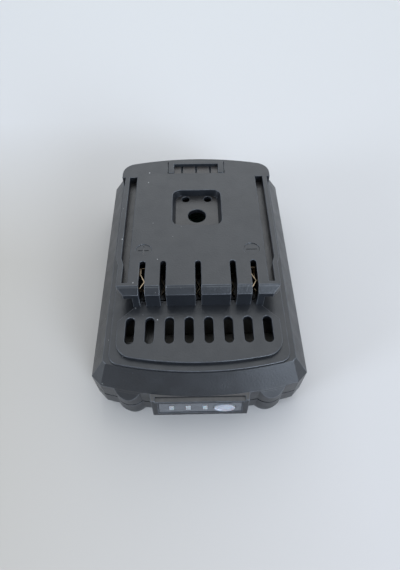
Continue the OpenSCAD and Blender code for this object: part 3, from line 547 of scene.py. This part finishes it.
def shaped_mesh(piece):
    """What the piece's modifiers make of its mesh."""
    bpy.context.view_layer.update()
    graph = bpy.context.evaluated_depsgraph_get()
    return bpy.data.meshes.new_from_object(piece.evaluated_get(graph), preserve_all_data_layers=True,
                                           depsgraph=graph)


def keep_corners(mesh):
    """Marks the bends beside a flat face as sharp, so that only the bevels are shaded round."""
    shape = bmesh.new()
    shape.from_mesh(mesh)
    for edge in shape.edges:
        bevels = sum(face.material_index for face in edge.link_faces)
        if bend(edge) > CORNER_BENDS[bevels]:
            edge.smooth = False
    shape.to_mesh(mesh)
    shape.free()


def sunk_disc(mesh, middle):
    """The flat faces of the disc round a sign's middle."""
    near = [face for face in mesh.faces
            if (face.calc_center_median() - middle).length < DISC_REACH * MM]
    return [face for face in near
            if max(abs(vert.co.z - middle.z) for vert in face.verts) < TOUCH * MM]


def engrave_signs(mesh):
    """Cuts a plus into the left sunk disc and a minus into the right one."""
    short, long = SIGN_STROKE / 2 * MM, SIGN_SIZE / 2 * MM
    ways = (Vector((1, 0, 0)), Vector((-1, 0, 0)), Vector((0, 1, 0)), Vector((0, -1, 0)))
    for side, bars in ((-1, ((long, short), (short, long))), (1, ((long, short),))):
        middle = Vector((side * SIGN_SPOT.x, SIGN_SPOT.y, SIGN_SPOT.z)) * MM
        for reach in (short, long):
            for way in ways:
                faces = sunk_disc(mesh, middle)
                edges = dict.fromkeys(edge for face in faces for edge in face.edges)
                verts = dict.fromkeys(vert for face in faces for vert in face.verts)
                bmesh.ops.bisect_plane(mesh, geom=[*faces, *edges, *verts], dist=DOUBLE * MM,
                                       plane_co=middle + way * reach, plane_no=way)
        centres = [(face, face.calc_center_median() - middle) for face in sunk_disc(mesh, middle)]
        stroke = [face for face, centre in centres
                  if any(abs(centre.x) < x and abs(centre.y) < y for x, y in bars)]
        sunk = bmesh.ops.extrude_face_region(mesh, geom=stroke)["geom"]
        bmesh.ops.delete(mesh, geom=stroke, context="FACES")
        for vert in (item for item in sunk if isinstance(item, bmesh.types.BMVert)):
            vert.co.z -= SIGN_DEPTH * MM


def add_bevel(piece, width):
    bevel = piece.modifiers.new("soft_edges", "BEVEL")
    bevel.limit_method = "WEIGHT"
    bevel.offset_type = "WIDTH"
    bevel.width = width
    bevel.segments = 2
    bevel.use_clamp_overlap = False
    # bevel faces take the second finish: rubbed wear and a painted highlight
    bevel.material = 1


def softened(name, node, width, skin):
    """A copy of a moulded CAD piece with its outer edges rounded, rubbed a little paler and painted paler as
    a highlight.

    Where the bevel tears, folds, warps or strays, the edges nearby get less of it, and in the end none.
    """
    mesh = joined_faces(node)
    if node == "upper_housing":
        engrave_signs(mesh)
    weights = weigh_edges(mesh, width, skin)
    piece = put_in_scene(name, bpy.data.meshes.new(name))
    piece.data.materials.append(FINISHES[SLOTS[node]])
    # second finish, for the bevels: rubbed wear and a painted highlight
    piece.data.materials.append(EDGE_WEAR_AND_HIGHLIGHT_FINISH)
    add_bevel(piece, width)
    mesh.to_mesh(piece.data)
    known = spoiled(piece.data) + warped(piece.data)
    for attempt in range(ATTEMPTS):
        for edge in mesh.edges:
            edge.smooth = edge[weights] > 0 or bend(edge) < SMOOTH_BEND
        mesh.to_mesh(piece.data)
        result = shaped_mesh(piece)
        found = spoiled(result) + warped(result)
        spots = [spot for spot in found if all((spot - old).length > SAME_SPOT * MM for old in known)]
        spots += strayed(result, mesh, weights, width)
        if not spots:
            break
        reach = (1 + WIDENING * attempt) * width
        for edge in mesh.edges:
            if edge[weights] and any(distance_to(edge, spot) < reach for spot in spots):
                edge[weights] = edge[weights] / 2 if attempt < HALVINGS else 0.0
    mesh.free()
    piece.modifiers.clear()
    piece.data = result
    keep_corners(result)
    stand_in(piece, node)


def front_face(mesh):
    """The face that the finger meets."""
    faces = [face for face in mesh.faces if face.normal.dot(PRESS_AXIS) < -FACING]
    return min(faces, key=lambda face: face.calc_center_median().dot(PRESS_AXIS))


def dished_button():
    """The gauge's button with a rounded rim and a hollow for the finger."""
    mesh = joined_faces("gauge_button")
    bmesh.ops.bevel(mesh, geom=list(front_face(mesh).edges), offset=RIM * MM, offset_type="WIDTH",
                    segments=4, profile=0.5, affect="EDGES")
    face = front_face(mesh)
    middle = face.calc_center_bounds()
    for scale, depth in DISH:
        face = bmesh.ops.extrude_discrete_faces(mesh, faces=[face])["faces"][0]
        for vert in face.verts:
            flat = vert.co - middle
            flat -= PRESS_AXIS * flat.dot(PRESS_AXIS)
            vert.co += flat * (scale - 1) + PRESS_AXIS * depth * MM
    piece = piece_of("button_cap", mesh, FINISHES[SLOTS["gauge_button"]])
    piece.data.set_sharp_from_angle(angle=BUTTON_BEND)
    stand_in(piece, "gauge_button")


def latch_slot_shade_sheets():
    """Dark sheets in the slot's ends, beside the latch: painted shade that also keeps light out of the head.
    """
    for side, name in ((-1, "shade_sheet_left"), (1, "shade_sheet_right")):
        mesh = bmesh.new()
        bmesh.ops.create_cube(mesh, size=1)
        for vert in mesh.verts:
            x, y, z = ((SHADE_SHEET_LOW if vert.co[axis] < 0 else SHADE_SHEET_HIGH)[axis] for axis in (X, Y, Z))
            vert.co = Vector((side * x, y, z)) * MM
        bmesh.ops.recalc_face_normals(mesh, faces=mesh.faces)
        piece = piece_of(name, mesh, FINISHES["dark_plastic"])
        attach(piece, "pack")


def latch_coils():
    """Smooth-shaded copies of the latch's springs, in place of their CAD nodes."""
    for side in ("left", "right"):
        node = "latch_spring_" + side
        piece = put_in_scene("coil_" + side, frame["nodes"][node].data.copy())
        piece.data.shade_smooth()
        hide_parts(node)
        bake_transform(piece)


def floor():
    """Pale floor with painted shade: darker towards the front, and darker and warmer at the front left."""
    mesh = bpy.data.meshes.new("floor")
    half = FLOOR_SIZE / 2
    corners = [(-half, -half, 0), (half, -half, 0), (half, half, 0), (-half, half, 0)]
    mesh.from_pydata(corners, [], [(0, 1, 2, 3)])
    piece = put_in_scene("floor", mesh)
    finish = Finish("floor_paint", FLOOR_BACK, 0.9, Specular_IOR_Level=0.05)
    back = finish.fade(finish.part(finish.place, Y), *TO_BACK)
    left = finish.fade(finish.part(finish.place, X), *TO_LEFT)
    near = finish.fade(finish.part(finish.place, Y), *TO_FRONT)
    # painted shade: darker towards the front
    tone = finish.blend(back, FLOOR_FRONT_SHADE, FLOOR_BACK)
    # painted shade: darker and warmer at the front left
    finish.put("Base Color", finish.blend(finish.times(left, near), tone, FLOOR_LEFT_SHADE))
    finish.grain(size=1.2, depth=0.01)
    mesh.materials.append(finish.material)


def room_light():
    """Soft room light: brightest above and behind, dim in front and on the left."""
    world = bpy.data.worlds.new("room")
    bpy.context.scene.world = world
    world.use_nodes = True
    tree = world.node_tree
    direction = tree.nodes.new("ShaderNodeTexCoord").outputs["Generated"]
    towards = tree.nodes.new("ShaderNodeVectorMath")
    towards.operation = "DOT_PRODUCT"
    tree.links.new(direction, towards.inputs[0])
    towards.inputs[1].default_value = BRIGHT_SIDE.normalized()
    shift = tree.nodes.new("ShaderNodeMapRange")
    tree.links.new(towards.outputs["Value"], shift.inputs["Value"])
    shift.inputs["From Min"].default_value = -1
    ramp = tree.nodes.new("ShaderNodeValToRGB")
    ramp.color_ramp.interpolation = "EASE"
    tree.links.new(shift.outputs[0], ramp.inputs[0])
    while len(ramp.color_ramp.elements) < len(ROOM):
        ramp.color_ramp.elements.new(0.5)
    for element, (spot, colour) in zip(ramp.color_ramp.elements, ROOM):
        element.position = spot
        element.color = (*colour, 1)
    tree.links.new(ramp.outputs[0], tree.nodes["Background"].inputs[0])


def area_lamp(name, place, target, size, power, colour, spread=180):
    data = bpy.data.lights.new(name, "AREA")
    data.shape = "RECTANGLE"
    data.size, data.size_y = size
    data.energy = power
    data.spread = math.radians(spread)
    data.color = colour
    lamp = put_in_scene(name, data)
    lamp.location = place
    lamp.rotation_euler = (Vector(target) - Vector(place)).to_track_quat("-Z", "Y").to_euler()


def photo_camera():
    """The camera that was fitted to the photo's edges."""
    data = bpy.data.cameras.new("camera")
    data.lens = 26.85
    data.sensor_width = 36
    data.clip_start = 0.01
    camera = put_in_scene("camera", data)
    camera.location = Vector((-1.01, -103.47, 159.25)) * MM
    camera.rotation_euler = (math.radians(34.558), 0, math.radians(-1.077))
    bpy.context.scene.camera = camera


dress_nodes()
pack_skin = outer_skin()
for piece_name, cad_node, soft_width in SOFT_PIECES:
    softened(piece_name, cad_node, soft_width * MM, pack_skin)
dished_button()
# painted shade: dark sheets in the latch slot's ends
latch_slot_shade_sheets()
latch_coils()
floor()
room_light()
area_lamp("softbox", place=(0.12, 0.78, 0.92), target=(0, 0, 0.02), size=(1.1, 1.1), power=2.8,
          colour=(0.95, 0.98, 1.0))
area_lamp("window", place=(0.82, -1.27, 0.5), target=(0, 0, 0.03), size=(0.8, 0.9), power=2.3,
          colour=(0.77, 0.90, 1.08), spread=45)
area_lamp("doorway", place=(-1.2, -0.6, 0.38), target=(0, 0, 0.03), size=(0.4, 0.7), power=0.8,
          colour=(0.79, 0.92, 1.1), spread=45)
photo_camera()
bpy.context.scene.view_settings.view_transform = "Standard"
